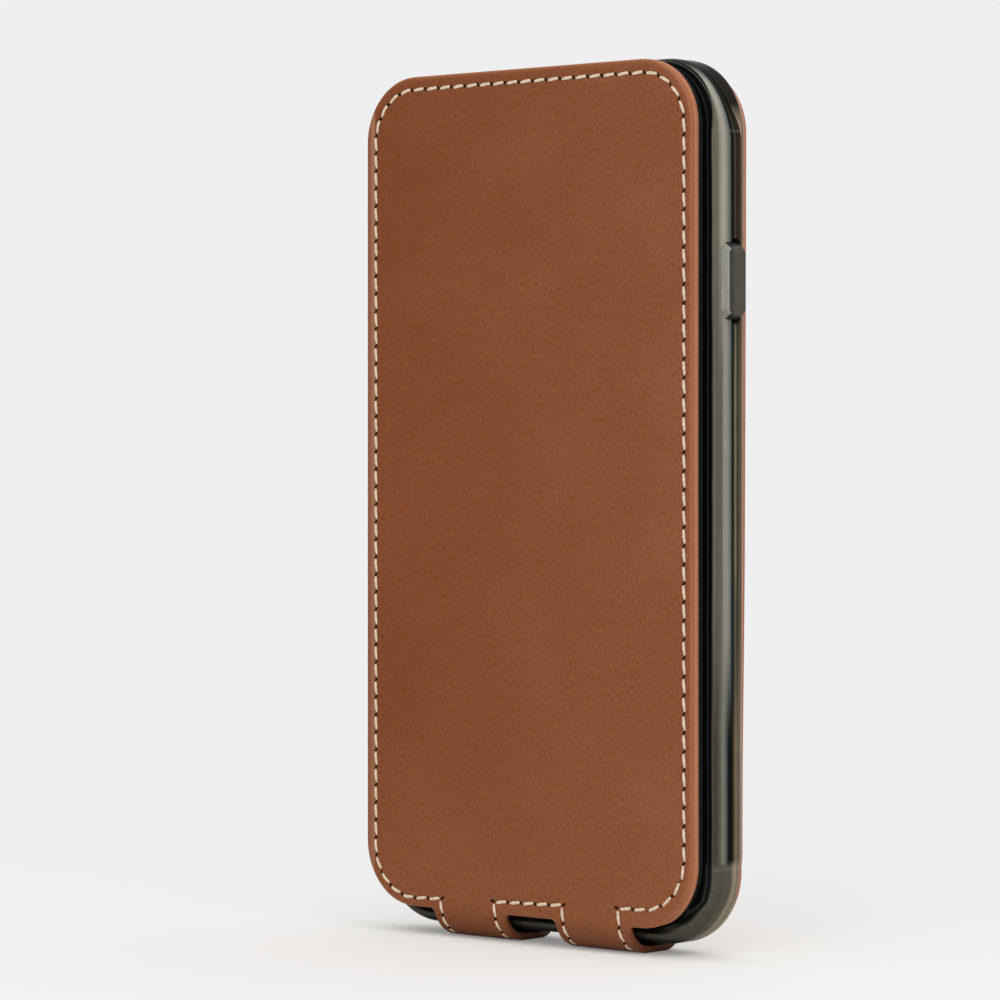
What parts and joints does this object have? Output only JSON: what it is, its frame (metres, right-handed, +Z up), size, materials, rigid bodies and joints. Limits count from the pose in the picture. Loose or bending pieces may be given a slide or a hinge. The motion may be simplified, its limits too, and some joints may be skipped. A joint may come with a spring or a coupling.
{
  "type": "phone wallet case",
  "caption": "Upright leather flap case for a phone: clear shell, stitched front flap hinged on two straps under its base, camera window, card pocket.",
  "frame": {"origin": "middle of the case's footprint, on the surface that its two straps stand on", "axes": "+Z up along the case's height, +X to the right seen from the front, the closed flap faces -Y and the back panel faces +Y"},
  "size_m": [0.0816, 0.015, 0.1557],
  "materials": {
    "leather": "satin, fine grain",
    "smoked_shell": "glossy smoky clear moulding",
    "smoked_button": "satin smoky moulding",
    "thread": "waxed cream thread",
    "black_thread": "black thread",
    "lining": "black fine textured cloth",
    "board": "plain fibreboard"
  },
  "bodies": {
    "shell": {"tpu_shell": "smoked_shell", "back_leather": "leather", "back_board": "board", "back_thread": "thread"},
    "strap": {"strap_left": "leather", "strap_right": "leather", "strap_left_thread": "thread", "strap_right_thread": "thread"},
    "flap": {"flap_leather": "leather", "flap_board": "board", "flap_thread": "thread", "flap_lining": "lining", "pocket_welt": "lining", "card_pocket": "lining", "pocket_thread": "black_thread"},
    "side_button": {"side_button": "smoked_button"},
    "volume_up": {"volume_up_button": "smoked_button"},
    "volume_down": {"volume_down_button": "smoked_button"}
  },
  "joints": [
    {"name": "strap_fold", "type": "hinge", "parent": "shell", "child": "strap", "pos_m": [0, 0.00639, 0.00111], "axis": [1, 0, 0], "range_deg": [0, 170]},
    {"name": "flap_fold", "type": "hinge", "parent": "strap", "child": "flap", "pos_m": [0, -0.00568, 0.00182], "axis": [1, 0, 0], "range_deg": [0, 170]},
    {"name": "side_button_press", "type": "slide", "parent": "shell", "child": "side_button", "axis": [-1, 0, 0], "range_m": [0, 0.0004], "stiffness_N_per_m": 2500},
    {"name": "volume_up_press", "type": "slide", "parent": "shell", "child": "volume_up", "axis": [1, 0, 0], "range_m": [0, 0.0004], "stiffness_N_per_m": 2500},
    {"name": "volume_down_press", "type": "slide", "parent": "shell", "child": "volume_down", "axis": [1, 0, 0], "range_m": [0, 0.0004], "stiffness_N_per_m": 2500}
  ],
  "couplings": [
    {"joint": "strap_fold", "follows": "flap_fold", "ratio": 1}
  ]
}
